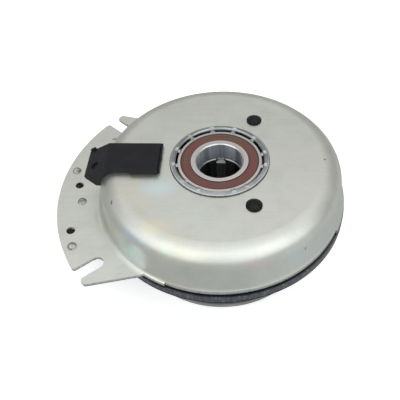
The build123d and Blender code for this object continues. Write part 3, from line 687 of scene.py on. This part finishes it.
def leaf_spring(index):
    """One strap of the CAD's springs, cut across finely enough to bend."""
    angle = SPRING_TURN + 360.0 / SPRING_COUNT * index
    level = (lowest("leaf_springs") + highest("leaf_springs")) / 2
    start = Vector(around_axis(angle, SPRING_BOSS_PLACE, level)) * MM
    end = Vector(around_axis(angle + SPRING_REACH, SPRING_END_PLACE, level)) * MM
    along = end - start
    mesh = nodes["leaf_springs"].data.copy()
    work = bmesh.new()
    work.from_mesh(mesh)
    strays = [corner for corner in work.verts if not on_spring(corner.co, start, along)]
    bmesh.ops.delete(work, geom=strays, context="VERTS")
    for cut in range(1, SPRING_CUTS):
        bmesh.ops.bisect_plane(
            work,
            geom=work.verts[:] + work.edges[:] + work.faces[:],
            plane_co=start + along * cut / SPRING_CUTS,
            plane_no=along,
        )
    work.to_mesh(mesh)
    work.free()
    mesh.set_sharp_from_angle(angle=SHARP_EDGE)
    piece = bpy.data.objects.new(f"leaf_spring_{index + 1}", mesh)
    bpy.context.scene.collection.objects.link(piece)
    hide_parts("leaf_springs")
    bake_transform(piece)


for spring in range(SPRING_COUNT):
    leaf_spring(spring)

# ---- Floor ----

FLOOR_SIZE = 60.0
# The floor lies just below the hub's end, so that the two faces aren't in one plane
FLOOR_GAP = 0.1 * MM


def stage_plane(name, size, level):
    """A level square round the shaft axis."""
    mesh = bpy.data.meshes.new(name)
    half = size / 2
    corners = [(-half, -half, level), (half, -half, level), (half, half, level), (-half, half, level)]
    mesh.from_pydata(corners, [], [(0, 1, 2, 3)])
    made = bpy.data.objects.new(name, mesh)
    bpy.context.scene.collection.objects.link(made)
    return made


floor_shader = Shader("floor_white", roughness=0.9)
floor_tone = floor_shader.ramp(
    floor_shader.noise(floor_shader.place, 3.0, 2.0), [(0.3, 0.93), (0.7, 0.96)]
)
floor_shader.drive("Base Color", floor_tone)
floor_shader.drive("Emission Color", floor_tone)
floor_shader.set("Emission Strength", 0.5)
floor = stage_plane("floor", FLOOR_SIZE, cad_box[0][2] - FLOOR_GAP)
floor.data.materials.append(floor_shader.material)
floor.visible_glossy = False

# ---- Light ----


class World(Shader):
    """A world background, wired with the same helpers."""

    def __init__(self, name):
        self.world = bpy.data.worlds.new(name)
        self.world.use_nodes = True
        self.tree = self.world.node_tree
        self.tree.nodes.clear()
        self.shade = self.node("Background")
        output = self.node("OutputWorld")
        self.link(self.shade, "Background", output, "Surface")
        self.place = self.node("TexCoord").outputs["Generated"]


# A graded tent, a broad softbox on the near side and light from the floor beside it
studio = World("studio")
way = studio.node("SeparateXYZ")
studio.wire(studio.place, way, "Vector")
lift = way.outputs["Z"]
tent = studio.ramp(
    studio.maths("MULTIPLY_ADD", lift, 0.5, 0.5),
    [
        (0.0, (0.40, 0.405, 0.40)),
        (0.45, (0.45, 0.455, 0.45)),
        (0.5, (0.40, 0.40, 0.395)),
        (0.6, (0.42, 0.42, 0.41)),
        (0.75, (0.48, 0.475, 0.465)),
        (0.83, (0.58, 0.575, 0.56)),
        (0.89, (0.88, 0.88, 0.865)),
        (0.94, (1.0, 1.0, 0.985)),
        (1.0, (1.0, 1.0, 0.985)),
    ],
)
near = studio.smooth(way.outputs["Y"], 1.0, 0.0, -0.5, 0.3)
rise = studio.smooth(lift, 0.0, 1.0, 0.0, 0.35)
fade = studio.smooth(lift, 1.0, 0.4, 0.68, 1.0)
below = studio.smooth(lift, 0.1, 0.0, -0.1, 0.0)
softbox = studio.times(studio.times(near, rise), fade)
sides = studio.smooth(studio.maths("ABSOLUTE", way.outputs["X"]), 0.34, 0.98, 0.0, 0.35)
right_floor = studio.smooth(way.outputs["X"], 0.0, 1.4, 0.1, 0.8)
floor_light = studio.times(studio.maths("ADD", near, right_floor), below)
boost = studio.maths("ADD", studio.times(softbox, sides), floor_light)
glow = studio.mix(boost, (0.0, 0.0, 0.0), (0.94, 1.0, 1.0))
light = studio.mix(1.0, tent, glow, "ADD")
# Seen directly, past the floor's edge, the studio is as pale as the floor
seen = studio.node("LightPath").outputs["Is Camera Ray"]
studio.wire(studio.mix(seen, light, (0.96, 0.96, 0.96)), studio.shade, "Color")
bpy.context.scene.world = studio.world

# ---- Camera ----

camera_yaw = math.radians(-6.84)
camera_pitch = math.radians(48.76)
camera_roll = math.radians(-4.405)
camera_place = Vector((16.0, -254.5, 329.4)) * MM
forward = Vector(
    (
        math.sin(camera_yaw) * math.cos(camera_pitch),
        math.cos(camera_yaw) * math.cos(camera_pitch),
        -math.sin(camera_pitch),
    )
)
level = Vector((math.cos(camera_yaw), -math.sin(camera_yaw), 0.0))
upright = level.cross(forward)
right = level * math.cos(camera_roll) + upright * math.sin(camera_roll)
up = upright * math.cos(camera_roll) - level * math.sin(camera_roll)
lens = bpy.data.cameras.new("camera")
lens.lens = 50.4
lens.sensor_width = 36.0
lens.clip_start = 0.01
camera = bpy.data.objects.new("camera", lens)
bpy.context.scene.collection.objects.link(camera)
turned = Matrix((right, up, -forward)).transposed().to_4x4()
camera.matrix_world = Matrix.Translation(camera_place) @ turned
bpy.context.scene.camera = camera
bpy.context.scene.view_settings.view_transform = "Standard"
